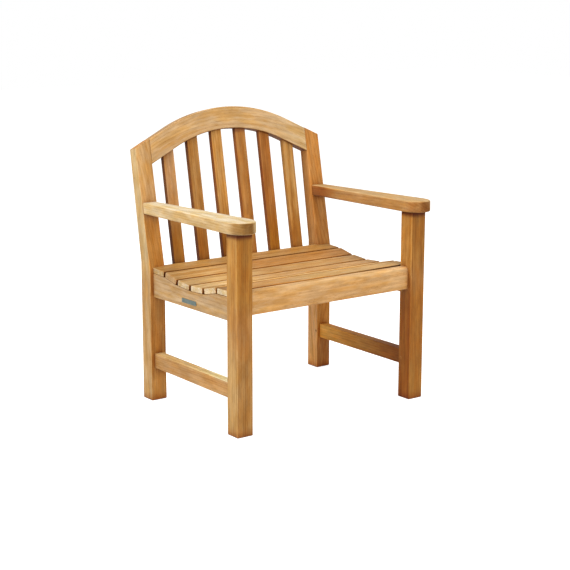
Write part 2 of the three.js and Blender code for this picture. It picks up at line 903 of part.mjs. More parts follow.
const bounds = new THREE.Box3();
for ( const [ name, { solid, material, group } ] of pieces ) {

	const geometry = toGeometry( solid );
	geometry.computeBoundingBox();
	bounds.union( geometry.boundingBox );
	const foot = geometry.boundingBox.getCenter( new THREE.Vector3() );
	foot.z = geometry.boundingBox.min.z;
	geometry.translate( - foot.x, - foot.y, - foot.z );
	const mesh = new THREE.Mesh( geometry, material );
	mesh.name = name;
	mesh.position.copy( foot );
	groups[ group ].add( mesh );

}

chair.position.y = - bounds.getCenter( new THREE.Vector3() ).y;

const model = new THREE.Group();
model.add( chair );

export default model;
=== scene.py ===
"""Teak garden armchair: materials, soft studio light and the camera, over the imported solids.

Metres, +Z up. The chair faces -Y and +X is on the viewer's right.
"""

import math
import random

import bpy
from mathutils import Matrix, Vector


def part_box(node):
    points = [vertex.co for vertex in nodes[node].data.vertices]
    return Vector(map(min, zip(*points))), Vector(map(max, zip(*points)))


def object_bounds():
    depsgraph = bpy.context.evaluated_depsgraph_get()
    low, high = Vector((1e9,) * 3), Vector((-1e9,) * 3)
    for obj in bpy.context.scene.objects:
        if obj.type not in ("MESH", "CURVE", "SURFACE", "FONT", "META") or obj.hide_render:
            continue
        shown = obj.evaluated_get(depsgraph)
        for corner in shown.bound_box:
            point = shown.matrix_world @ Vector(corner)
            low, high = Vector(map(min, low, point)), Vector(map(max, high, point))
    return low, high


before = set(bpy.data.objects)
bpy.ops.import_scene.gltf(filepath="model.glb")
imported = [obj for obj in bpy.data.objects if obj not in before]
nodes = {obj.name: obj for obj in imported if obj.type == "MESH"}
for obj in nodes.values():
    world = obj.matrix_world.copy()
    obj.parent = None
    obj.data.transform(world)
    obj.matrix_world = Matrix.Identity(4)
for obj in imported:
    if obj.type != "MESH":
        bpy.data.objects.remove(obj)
cad_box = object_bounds()
chair_size = Vector(cad_box[1]) - Vector(cad_box[0])

X, Y, Z = (1, 0, 0), (0, 1, 0), (0, 0, 1)
LEFT, RIGHT, FRONT, UP = (-1, 0, 0), X, (0, -1, 0), Z

# The back slats and the crest are raked. The posts are straight below the seat and raked above it, so
# their grain takes a mean lean.
RAKE = math.radians(11.2)
POST_LEAN = math.radians(5.5)
RAKED = (0, math.sin(RAKE), math.cos(RAKE))
RAKED_OUT = (0, -math.cos(RAKE), math.sin(RAKE))
LEANING = (0, math.sin(POST_LEAN), math.cos(POST_LEAN))


# Small helpers for node trees

# A Mix node has several sockets of each name, so those for colours are taken by number
MIX_FACTOR, MIX_FIRST, MIX_SECOND, MIX_COLOUR = 0, 6, 7, 2


def add(tree, kind, inputs=None, **settings):
    """A new node. Each named or numbered input is set to a value, or linked where that is a socket."""
    node = tree.nodes.new(kind)
    for key, value in settings.items():
        setattr(node, key, value)
    for key, value in (inputs or {}).items():
        if isinstance(value, bpy.types.NodeSocket):
            tree.links.new(value, node.inputs[key])
        else:
            node.inputs[key].default_value = value
    return node


def add_sockets(tree, side, kinds):
    """Gives a node group its inputs or outputs, and returns their identifiers by name."""
    return {
        name: tree.interface.new_socket(name, in_out=side, socket_type="NodeSocket" + kind).identifier
        for name, kind in kinds.items()
    }


def opaque(colour):
    return (*colour, 1.0)


def math_node(tree, operation, *values, clamp=False):
    inputs = dict(enumerate(values))
    return add(tree, "ShaderNodeMath", inputs, operation=operation, use_clamp=clamp).outputs[0]


def vector_node(tree, operation, *values):
    node = add(tree, "ShaderNodeVectorMath", dict(enumerate(values)), operation=operation)
    return node.outputs["Value" if operation == "DOT_PRODUCT" else "Vector"]


def weighted_sum(tree, start, values, value_shares):
    """The start plus the share of each value that is named in value_shares."""
    total = start
    for name, share in value_shares.items():
        total = math_node(tree, "MULTIPLY_ADD", values[name], share, total)
    return total


def noise(tree, vector, scale, detail=2.0, roughness=0.5):
    inputs = {"Vector": vector, "Scale": scale, "Detail": detail, "Roughness": roughness}
    return add(tree, "ShaderNodeTexNoise", inputs).outputs


def span(tree, value, low, high, to_low=0.0, to_high=1.0, smooth=True):
    """Maps low..high to to_low..to_high, held at the ends. Low may be the larger one."""
    inputs = {"Value": value, "From Min": low, "From Max": high, "To Min": to_low, "To Max": to_high}
    kind = "SMOOTHSTEP" if smooth else "LINEAR"
    return add(tree, "ShaderNodeMapRange", inputs, interpolation_type=kind).outputs["Result"]


def blend_colour(tree, factor, first, second, mode="MIX"):
    inputs = {MIX_FACTOR: factor, MIX_FIRST: first, MIX_SECOND: second}
    return add(tree, "ShaderNodeMix", inputs, data_type="RGBA", blend_type=mode).outputs[MIX_COLOUR]


def multiplied(tree, colour, factor, by_colour):
    return blend_colour(tree, factor, colour, opaque(by_colour), "MULTIPLY")


def scaled(tree, colour, factor):
    node = add(tree, "ShaderNodeVectorMath", {"Vector": colour, "Scale": factor}, operation="SCALE")
    return node.outputs["Vector"]


def place_in_chair(tree):
    return add(tree, "ShaderNodeTexCoord").outputs["Object"]


# What the materials share: an empty tree to start with, a sense of the edges, and the shader at the end

BEVEL_SAMPLES = 4

# The middle between 0 and 1, and the part of a noise's range where patches go from one side to the other
MIDDLE = 0.5
MIDDLING_NOISE = (0.35, 0.65)


def empty_material(name):
    material = bpy.data.materials.new(name)
    material.use_nodes = True
    material.node_tree.nodes.clear()
    return material


def flatness(tree, radius):
    """1 on a flat face, and less the closer an edge is, within the radius."""
    rounded = add(tree, "ShaderNodeBevel", {"Radius": radius}, samples=BEVEL_SAMPLES).outputs[0]
    normal = add(tree, "ShaderNodeNewGeometry").outputs["True Normal"]
    return vector_node(tree, "DOT_PRODUCT", rounded, normal)


def give_surface(tree, relief, inputs):
    """Ends a tree with its shader. The relief is a height, how strong it shows and how deep it is."""
    height, strength, depth = relief
    bump = add(tree, "ShaderNodeBump", {"Strength": strength, "Distance": depth, "Height": height})
    shader = add(tree, "ShaderNodeBsdfPrincipled", {"Normal": bump.outputs[0], **inputs})
    add(tree, "ShaderNodeOutputMaterial", {"Surface": shader.outputs[0]})


# Teak: growth rings round a heart line that runs along the board, with fibres and open pores

# Patterns of noise: the share of their scale that is left along the grain, which draws them out, then
# their scale, detail and roughness
FIBRE_STRETCH, RING_STRETCH, BLOTCH_STRETCH = 0.025, 0.09, 0.22
PATTERNS = {
    "drift": (RING_STRETCH, 11.0, 2.0, 0.5),
    "patch": (RING_STRETCH, 26.0, 2.0, 0.5),
    "band": (FIBRE_STRETCH, 42.0, 2.0, 0.5),
    "streak": (FIBRE_STRETCH, 95.0, 3.0, 0.55),
    "fibre": (FIBRE_STRETCH, 480.0, 5.0, 0.68),
    "pore": (0.045, 1900.0, 1.0, 0.5),
    "blotch": (BLOTCH_STRETCH, 52.0, 3.0, 0.6),
    "cloud": (BLOTCH_STRETCH, 74.0, 2.0, 0.5),
}

# Keeps the clouds' noise apart from the blotches' noise
CLOUD_SHIFT = (3.0, 1.0, 2.0)

# Growth rings: the wave's settings, how far the rings wander, and where a ring's dark late wood begins
RING_WAVE = {"Scale": 44.0, "Distortion": 1.6, "Detail": 3.0, "Detail Scale": 2.2, "Detail Roughness": 0.6}
RING_DRIFT = (0.0, 0.022, 0.022)
LATE_WOOD = (0.55, 1.0)

# The tone from pale to deep: the noise where each pattern is pale and where it is deep, what the patterns
# and the late wood add, and what all of it comes to on average
TONE_NOISE = {"streak": (0.30, 0.70), "fibre": (0.30, 0.72), "patch": (0.28, 0.72), "band": (0.34, 0.66)}
TONE_SHARES = {"late": 0.34, "streak": 0.38, "fibre": 0.26, "patch": 0.24, "band": 0.44}
MEAN_TONE_SHARE = 0.76

# Pores: the noise where they are shut and where they are open, how much they mark early wood and how much
# more late wood, and the colour of a mark
PORE_NOISE = (0.44, 0.30)
EARLY_MARK_SHARE = 0.25
MARK_SHARES = {"late": 0.35}
PORE_TINT = (0.36, 0.22, 0.12)

# The roughness of plain wood, and what the patterns add to the roughness and to the relief
PLAIN_ROUGHNESS = 0.42
ROUGHNESS_SHARES = {"fibre": 0.16, "pore": 0.12, "end": 0.14}
RELIEF_SHARES = {"fibre": 0.5, "pore": -0.55, "late": 0.22}

# Blotches go from a cool hue to a ripe one, and clouds make the board darker and lighter
BLOTCH_NOISE = (0.36, 0.64)
COOL_HUE, RIPE_HUE = (1.04, 1.07, 1.22), (0.98, 0.87, 0.66)
CLOUD_LEVELS = (0.90, 1.09)


def drawn_out(tree, vector, stretch):
    """The vector for a pattern that is drawn out along the grain."""
    return vector_node(tree, "MULTIPLY", vector, (stretch, 1.0, 1.0))


def grain_noise(tree, vector, name, shift=None):
    stretch, scale, detail, roughness = PATTERNS[name]
    drawn = drawn_out(tree, vector, stretch)
    if shift:
        drawn = vector_node(tree, "ADD", drawn, shift)
    return noise(tree, drawn, scale, detail, roughness)


def late_wood(tree, vector):
    """0 in a ring's pale early wood to 1 in its dark late wood."""
    drift = vector_node(tree, "SUBTRACT", grain_noise(tree, vector, "drift")["Color"], (MIDDLE,) * 3)
    drift = vector_node(tree, "MULTIPLY", drift, RING_DRIFT)
    wandering = vector_node(tree, "ADD", drawn_out(tree, vector, RING_STRETCH), drift)
    rings = add(
        tree, "ShaderNodeTexWave", {"Vector": wandering, **RING_WAVE},
        wave_type="RINGS", rings_direction="X", wave_profile="SIN")
    return span(tree, rings.outputs["Fac"], *LATE_WOOD)


def make_teak_group():
    tree = bpy.data.node_groups.new("teak_grain", "ShaderNodeTree")
    add_sockets(tree, "INPUT", {
        "Vector": "Vector", "Pale": "Color", "Deep": "Color", "Figure": "Float", "End": "Float"})
    add_sockets(tree, "OUTPUT", {"Color": "Color", "Roughness": "Float", "Height": "Float"})
    given = add(tree, "NodeGroupInput").outputs
    vector = given["Vector"]

    patterns = {name: grain_noise(tree, vector, name)["Fac"] for name in ("fibre", *TONE_NOISE)}
    pore = span(tree, grain_noise(tree, vector, "pore")["Fac"], *PORE_NOISE)
    parts = {"late": late_wood(tree, vector), "fibre": patterns["fibre"], "pore": pore, "end": given["End"]}

    tones = {name: span(tree, patterns[name], *noise_span) for name, noise_span in TONE_NOISE.items()}
    tone = weighted_sum(tree, -MEAN_TONE_SHARE, {**parts, **tones}, TONE_SHARES)
    tone = math_node(tree, "MULTIPLY_ADD", tone, given["Figure"], MIDDLE, clamp=True)
    colour = blend_colour(tree, tone, given["Pale"], given["Deep"])
    mark = math_node(tree, "MULTIPLY", pore, weighted_sum(tree, EARLY_MARK_SHARE, parts, MARK_SHARES))
    colour = multiplied(tree, colour, mark, PORE_TINT)

    ripe = span(tree, grain_noise(tree, vector, "blotch")["Fac"], *BLOTCH_NOISE)
    hue = blend_colour(tree, ripe, opaque(COOL_HUE), opaque(RIPE_HUE))
    colour = blend_colour(tree, 1.0, colour, hue, "MULTIPLY")
    cloud = grain_noise(tree, vector, "cloud", CLOUD_SHIFT)["Fac"]
    colour = scaled(tree, colour, span(tree, cloud, *MIDDLING_NOISE, *CLOUD_LEVELS))

    add(tree, "NodeGroupOutput", {
        "Color": colour,
        "Roughness": weighted_sum(tree, PLAIN_ROUGHNESS, parts, ROUGHNESS_SHARES),
        "Height": weighted_sum(tree, 0.0, parts, RELIEF_SHARES)})
    return tree


teak_group = make_teak_group()


# A board's place in its tree

GRAIN_TILT = 0.02
TREE_SPAN = (2.0, 9.0)


def grain_matrix(along, wide, tilt):
    """Rows: along the grain, across the board's wide side and through its thickness, tilted a little."""
    along = along.normalized()
    wide = (wide - along * wide.dot(along)).normalized()
    turn = Matrix.Rotation(tilt[0], 3, wide) @ Matrix.Rotation(tilt[1], 3, along.cross(wide))
    along, wide = turn @ along, turn @ wide
    return Matrix((along, wide, along.cross(wide)))


def centre_of(node):
    low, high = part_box(node)
    return (Vector(low) + Vector(high)) / 2


def bowed(tree, vector, middle, bow):
    """Bends the grain into an arch: across falls off with the square of the distance from the middle."""
    parts = add(tree, "ShaderNodeSeparateXYZ", {0: vector}).outputs
    off = math_node(tree, "SUBTRACT", parts[0], middle)
    rise = math_node(tree, "MULTIPLY", math_node(tree, "MULTIPLY", off, off), bow)
    across = math_node(tree, "ADD", parts[1], rise)
    return add(tree, "ShaderNodeCombineXYZ", {0: parts[0], 1: across, 2: parts[2]}).outputs[0]


def place_in_tree(tree, node, along, wide, heart, bow):
    """Where a point lies along the tree and beside its heart, and the direction of the grain."""
    chance = random.Random(node)
    tilt = (chance.uniform(-GRAIN_TILT, GRAIN_TILT), chance.uniform(-GRAIN_TILT, GRAIN_TILT))
    matrix = grain_matrix(Vector(along), Vector(wide), tilt)
    middle = chance.uniform(*TREE_SPAN)
    offset = Vector((middle, *heart)) - matrix @ centre_of(node)
    inputs = {"Vector": place_in_chair(tree), "Location": offset, "Rotation": matrix.to_euler("XYZ")}
    point = add(tree, "ShaderNodeMapping", inputs, vector_type="POINT").outputs[0]
    if bow:
        point = bowed(tree, point, middle, bow)
    return point, tuple(matrix[0])


# A board's colour over its grain: worn edges with a painted highlight, end grain, tints, most of them
# painted light and shade, and painted shade in the corners

# How squarely a face looks along a direction before it counts: end grain, and a tinted face
END_FACING, TINT_FACING = (0.70, 0.95), (0.45, 0.85)

# Worn edges, rubbed paler, which also paint a highlight along each edge: their radius, the flatness where
# the wear and the painted highlight begin and are full, how much of the edge is paler in the patches, and
# the rubbed and lit colour and its share
WOOD_EDGE = 0.0035
WOOD_WEAR_AND_HIGHLIGHT = (0.99, 0.86)
WEAR_PATCH_SCALE, WEAR_PATCH_DETAIL = 38.0, 3.0
WEAR_AND_HIGHLIGHT_LEVELS = (0.12, 0.40)
RUBBED_AND_LIT, RUBBED_AND_LIT_SHARE = (0.74, 0.56, 0.34), 0.35

# Painted shade in corners and gaps, darker the more closed in they are: how far a corner reaches, how open
# it is where the painted shade is full and where it ends, and its colour
CORNER_REACH, CORNER_SAMPLES = 0.035, 6
CORNER_OPENNESS = (0.28, 0.88)
FULL_CORNER_SHADE = 0.95
CORNER_SHADE_COLOUR = (0.42, 0.20, 0.05)

# The tint of end grain where a board has none of its own, the relief's strength and depth, and the gloss
DULL_END = (0.60, 0.46, 0.34)
WOOD_RELIEF = (0.35, 0.0005)
OILED_WOOD = {"IOR": 1.48, "Specular IOR Level": 0.22}


def worn_and_highlit_edges(tree, colour, point, pale):
    """Rubs the edges paler in patches, as wear and as a painted highlight along them."""
    patchy = noise(tree, point, WEAR_PATCH_SCALE, WEAR_PATCH_DETAIL)["Fac"]
    wear = span(tree, flatness(tree, WOOD_EDGE), *WOOD_WEAR_AND_HIGHLIGHT)
    wear = math_node(tree, "MULTIPLY", wear, span(tree, patchy, *MIDDLING_NOISE, *WEAR_AND_HIGHLIGHT_LEVELS))
    rubbed_and_lit = tuple((1 - RUBBED_AND_LIT_SHARE) * p + RUBBED_AND_LIT_SHARE * q for p, q in zip(pale, RUBBED_AND_LIT))
    return blend_colour(tree, wear, colour, opaque(rubbed_and_lit))


def tinted(tree, colour, normal, tints):
    """Multiplies by each tint on the faces that look its way, over its stretch of the chair; most tints
    paint light and shade.
    """
    for tint_colour, facing, over in tints:
        factor = 1.0
        if facing:
            factor = span(tree, vector_node(tree, "DOT_PRODUCT", normal, facing), *TINT_FACING)
        if over:
            axis, start, stop = over
            place = vector_node(tree, "DOT_PRODUCT", place_in_chair(tree), axis)
            factor = math_node(tree, "MULTIPLY", factor, span(tree, place, start, stop))
        colour = multiplied(tree, colour, factor, tint_colour)
    return colour


def painted_corner_shade(tree, colour, corner_shade):
    # Painted shade: corners and gaps are darkened the more closed in they are
    inputs = {"Distance": CORNER_REACH}
    openness = add(tree, "ShaderNodeAmbientOcclusion", inputs, samples=CORNER_SAMPLES).outputs["AO"]
    corner_shade_mask = span(tree, openness, *CORNER_OPENNESS, FULL_CORNER_SHADE * corner_shade, 0.0)
    return multiplied(tree, colour, corner_shade_mask, CORNER_SHADE_COLOUR)


def teak(node, along, wide, heart, tones, figure=1.0, end_tint=DULL_END, tints=(), bow=0.0, corner_shade=1.0):
    """A board's own teak: its grain direction, where the tree's heart lay and its pale and deep tone.

    The figure is how strongly the grain shows, and corner_shade is how much painted shade darkens the
    corners where pieces meet.
    """
    material = empty_material(f"teak_{node}")
    tree = material.node_tree
    pale, deep = tones
    point, grain_direction = place_in_tree(tree, node, along, wide, heart, bow)
    normal = add(tree, "ShaderNodeNewGeometry").outputs["Normal"]
    facing = math_node(tree, "ABSOLUTE", vector_node(tree, "DOT_PRODUCT", normal, grain_direction))
    end = span(tree, facing, *END_FACING)
    inputs = {"Vector": point, "Pale": opaque(pale), "Deep": opaque(deep), "Figure": figure, "End": end}
    grain = add(tree, "ShaderNodeGroup", inputs, node_tree=teak_group).outputs

    colour = worn_and_highlit_edges(tree, grain["Color"], point, pale)
    colour = multiplied(tree, colour, end, end_tint)
    colour = tinted(tree, colour, normal, tints)
    colour = painted_corner_shade(tree, colour, corner_shade)
    give_surface(tree, (grain["Height"], *WOOD_RELIEF), {
        "Base Color": colour, "Roughness": grain["Roughness"], **OILED_WOOD})
    return material


# Metal, for the plate, its pins and the screws

# Brushed lines, drawn out as the grain is, and small marks: scale, detail and roughness of their noise
LINE_STRETCH, LINES = 0.03, (3200.0, 3.0, 0.7)
MARKS = (120.0, 4.0, 0.6)

# What lines and marks do: the dull colour's share of the clean one, what each adds to the dulling, how
# much smoother than its mean the metal is without marks, and how much they roughen it
DULL_SHARE = 0.72
DULLING_SHARES = {"marks": 0.5, "lines": 0.5}
UNMARKED_DROP = 0.1
MARK_ROUGHNESS_SHARES = {"marks": 0.22}

# Worn edges: their radius, the flatness where wear begins and is full, its levels there, and bare metal
METAL_EDGE = 0.0006
METAL_WEAR, METAL_WEAR_LEVELS = (0.99, 0.85), (0.0, 0.6)
BARE_METAL = (0.80, 0.81, 0.80)
METAL_RELIEF = (0.25, 0.0001)


def metal(name, colour, roughness, along, metallic):
    """Brushed metal, with fine lines along one axis and small marks."""
    material = empty_material(name)
    tree = material.node_tree
    point = place_in_chair(tree)
    stretch = tuple(LINE_STRETCH if part else 1.0 for part in along)
    brushed = vector_node(tree, "MULTIPLY", point, stretch)
    lines = noise(tree, brushed, *LINES)["Fac"]
    marks = noise(tree, point, *MARKS)["Fac"]
    dulling = {"marks": span(tree, marks, *MIDDLING_NOISE), "lines": lines}
    dull = tuple(part * DULL_SHARE for part in colour)
    base = blend_colour(
        tree, weighted_sum(tree, 0.0, dulling, DULLING_SHARES), opaque(colour), opaque(dull))
    wear = span(tree, flatness(tree, METAL_EDGE), *METAL_WEAR, *METAL_WEAR_LEVELS)
    base = blend_colour(tree, wear, base, opaque(BARE_METAL))
    rough = weighted_sum(tree, roughness - UNMARKED_DROP, {"marks": marks}, MARK_ROUGHNESS_SHARES)
    give_surface(tree, (lines, *METAL_RELIEF), {
        "Base Color": base, "Metallic": metallic, "Roughness": rough})
    return material


# Smooth shading over the eased edges, with flat faces and the bends of the posts kept crisp

WELD_DISTANCE = 0.000005
CRISP_ABOVE = math.radians(50)
POST_BEND_CRISP = math.radians(15)


def compared(tree, operation, *values):
    inputs = dict(enumerate(values))
    return add(tree, "FunctionNodeCompare", inputs, data_type="FLOAT", operation=operation).outputs[0]


def make_smoothing():
    """Shades faces smooth. An edge stays crisp where it turns more than CRISP_ABOVE or less than asked."""
    tree = bpy.data.node_groups.new("smooth_edges", "GeometryNodeTree")
    tree.is_modifier = True
    inputs = add_sockets(tree, "INPUT", {"Geometry": "Geometry", "Crisp below": "Float"})
    add_sockets(tree, "OUTPUT", {"Geometry": "Geometry"})
    given = add(tree, "NodeGroupInput").outputs
    bare = add(tree, "GeometryNodeRemoveAttribute", {
        "Geometry": given["Geometry"], "Name": "custom_normal"}).outputs[0]
    welded = add(tree, "GeometryNodeMergeByDistance", {
        "Geometry": bare, "Distance": WELD_DISTANCE}).outputs[0]
    shaded = add(tree, "GeometryNodeSetShadeSmooth", {
        "Geometry": welded, "Shade Smooth": True}, domain="FACE").outputs[0]
    angle = add(tree, "GeometryNodeInputMeshEdgeAngle").outputs["Unsigned Angle"]
    sharp = compared(tree, "GREATER_THAN", angle, CRISP_ABOVE)
    slight = compared(tree, "LESS_THAN", angle, given["Crisp below"])
    either = add(tree, "FunctionNodeBooleanMath", {0: sharp, 1: slight}, operation="OR").outputs[0]
    crisp = add(tree, "GeometryNodeSetShadeSmooth", {
        "Geometry": shaded, "Selection": either, "Shade Smooth": False}, domain="EDGE").outputs[0]
    add(tree, "NodeGroupOutput", {"Geometry": crisp})
    return tree, inputs["Crisp below"]


smoothing, crisp_below = make_smoothing()


def smooth(name, crisp_angle=0.0):
    piece = nodes[name]
    step = piece.modifiers.new("smooth_edges", "NODES")
    step.node_group = smoothing
    step[crisp_below] = crisp_angle
    weighted = piece.modifiers.new("weighted_normals", "WEIGHTED_NORMAL")
    weighted.keep_sharp = True


def dress(name, material, crisp_angle=0.0):
    """Gives a piece its material and its smooth shading."""
    slots = nodes[name].data.materials
    slots.clear()
    slots.append(material)
    smooth(name, crisp_angle)


# Tones: each board starts from one of these pairs and is made lighter or darker

HONEY = ((0.52, 0.315, 0.125), (0.36, 0.185, 0.058))
AMBER = ((0.45, 0.213, 0.056), (0.30, 0.117, 0.019))
CREAM = ((0.60, 0.410, 0.195), (0.43, 0.250, 0.095))


def toned(pair, level, warmth=0.0):
    """A lighter or darker pair; warmth takes green away, and twice as much blue."""
    return [
        (colour[0] * level, colour[1] * level * (1 - warmth), colour[2] * level * (1 - 2 * warmth))
        for colour in pair
    ]


# Board: grain, wide side, heart's distance across and through the board, tones, level, warmth, figure
BOARDS = {
    "front_leg_left": (Z, X, (0.075, 0.060), AMBER, 0.79, 0.0, 1.0),
    "front_leg_right": (Z, X, (-0.082, 0.055), AMBER, 0.80, 0.02, 1.0),
    "back_post_left": (LEANING, Y, (0.090, -0.070), HONEY, 0.94, 0.04, 0.7),
    "back_post_right": (LEANING, Y, (-0.085, 0.072), AMBER, 1.10, 0.0, 0.8),
    "side_rail_left": (Y, Z, (0.050, 0.090), HONEY, 0.88, -0.13, 0.7),
    "side_rail_right": (Y, Z, (-0.040, 0.090), HONEY, 0.95, 0.0, 0.8),
    "side_stretcher_left": (Y, Z, (0.070, 0.050), HONEY, 0.98, 0.0, 0.8),
    "side_stretcher_right": (Y, Z, (-0.075, 0.045), HONEY, 1.0, 0.04, 0.8),
    "front_rail": (X, Z, (0.035, 0.110), HONEY, 1.08, 0.04, 0.7),
    "rear_rail": (X, Z, (-0.030, 0.100), HONEY, 0.95, 0.0, 1.0),
    "crest_rail": (X, RAKED, (0.020, 0.070), HONEY, 0.965, -0.10, 0.8),
    "back_slat_1": (RAKED, X, (0.010, 0.085), HONEY, 0.88, 0.0, 1.0),
    "back_slat_2": (RAKED, X, (0.070, 0.040), AMBER, 0.86, -0.09, 1.0),
    "back_slat_3": (RAKED, X, (-0.060, 0.050), AMBER, 1.09, -0.14, 1.0),
    "back_slat_4": (RAKED, X, (-0.015, 0.090), AMBER, 0.91, 0.0, 1.0),
    "back_slat_5": (RAKED, X, (0.080, 0.030), AMBER, 0.79, 0.13, 1.0),
    "back_slat_6": (RAKED, X, (0.020, 0.075), AMBER, 1.0, -0.15, 1.0),
    "seat_slat_1": (X, Y, (0.040, 0.080), AMBER, 0.97, -0.15, 0.8),
    "seat_slat_2": (X, Y, (-0.060, 0.060), AMBER, 0.90, -0.01, 0.8),
    "seat_slat_3": (X, Y, (0.015, 0.100), HONEY, 0.88, 0.03, 0.8),
    "seat_slat_4": (X, Y, (0.075, 0.045), HONEY, 1.02, 0.0, 0.8),
    "seat_slat_5": (X, Y, (-0.030, 0.085), HONEY, 1.28, -0.07, 0.8),
    "seat_slat_6": (X, Y, (0.055, 0.070), HONEY, 0.98, -0.02, 0.8),
    "arm_left": (Y, X, (0.020, 0.095), CREAM, 0.94, -0.11, 0.8),
    "arm_right": (Y, X, (-0.045, 0.080), HONEY, 0.89, 0.0, 0.8),
}


# Each board's own tints, over its tone. Most are painted light and shade: lighter faces towards the lamps,
# darker faces and stretches under the seat, the arms and the crest, and highlights on tops and rounded
# edges. Tints without a facing or a stretch are the board's own colour, and so is the darker end grain of
# the arms' noses.


def tint(colour, facing=None, over=None):
    """A colour to multiply by, the direction its faces look in, and the stretch where it comes in."""
    return colour, facing, over


def shares(axis, start, stop):
    """A stretch in shares of the chair's size, from the floor, or from the middle along X and Y."""
    size = chair_size.dot(Vector(axis))
    return axis, start * size, stop * size


NOSE, BROW = (-0.5, -0.87, 0), (0, -0.6, 0.8)
CREST_DOWN, CREST_UP = [tuple(sign * value for value in RAKED) for sign in (-1, 1)]

# Tints that boards have in common
FOOT = tint((0.94, 0.76, 0.52), over=shares(Z, 0.039, 0.0))
# Painted shadow of the arms across the tops of the front legs
SHADOW_UNDER_ARM = tint((0.34, 0.18, 0.06), over=shares(Z, 0.643, 0.660))
# Painted shade on the back slats' left sides, between their neighbours, lighter on the pale slats
SHADED_SLAT_SIDE = tint((0.52, 0.33, 0.13), LEFT)
LIGHTER_SHADED_SLAT_SIDE = tint((0.68, 0.50, 0.27), LEFT)
# Painted shade on the seat slats' front faces, down in the gaps between them, deepest behind the rear slat
SHADED_REAR_SEAT_GAP = tint((0.45, 0.29, 0.13), FRONT)
SHADED_SEAT_GAP = tint((1.0, 0.85, 0.65), FRONT)

# Stretches that tints have in common
PAST_SEAT = shares(Z, 0.366, 0.466)
ABOVE_SEAT = shares(Z, 0.421, 0.510)
BELOW_SEAT = shares(Z, 0.4435, 0.344)
BELOW_RAIL = shares(Z, 0.399, 0.333)
SEAT_LEFT = shares(X, 0.0, -0.292)
SEAT_FAR_LEFT = shares(X, 0.0, -0.3315)
STRETCHER_FRONT = shares(Y, 0.032, -0.238)
ARM_END = shares(Y, -0.389, -0.476)
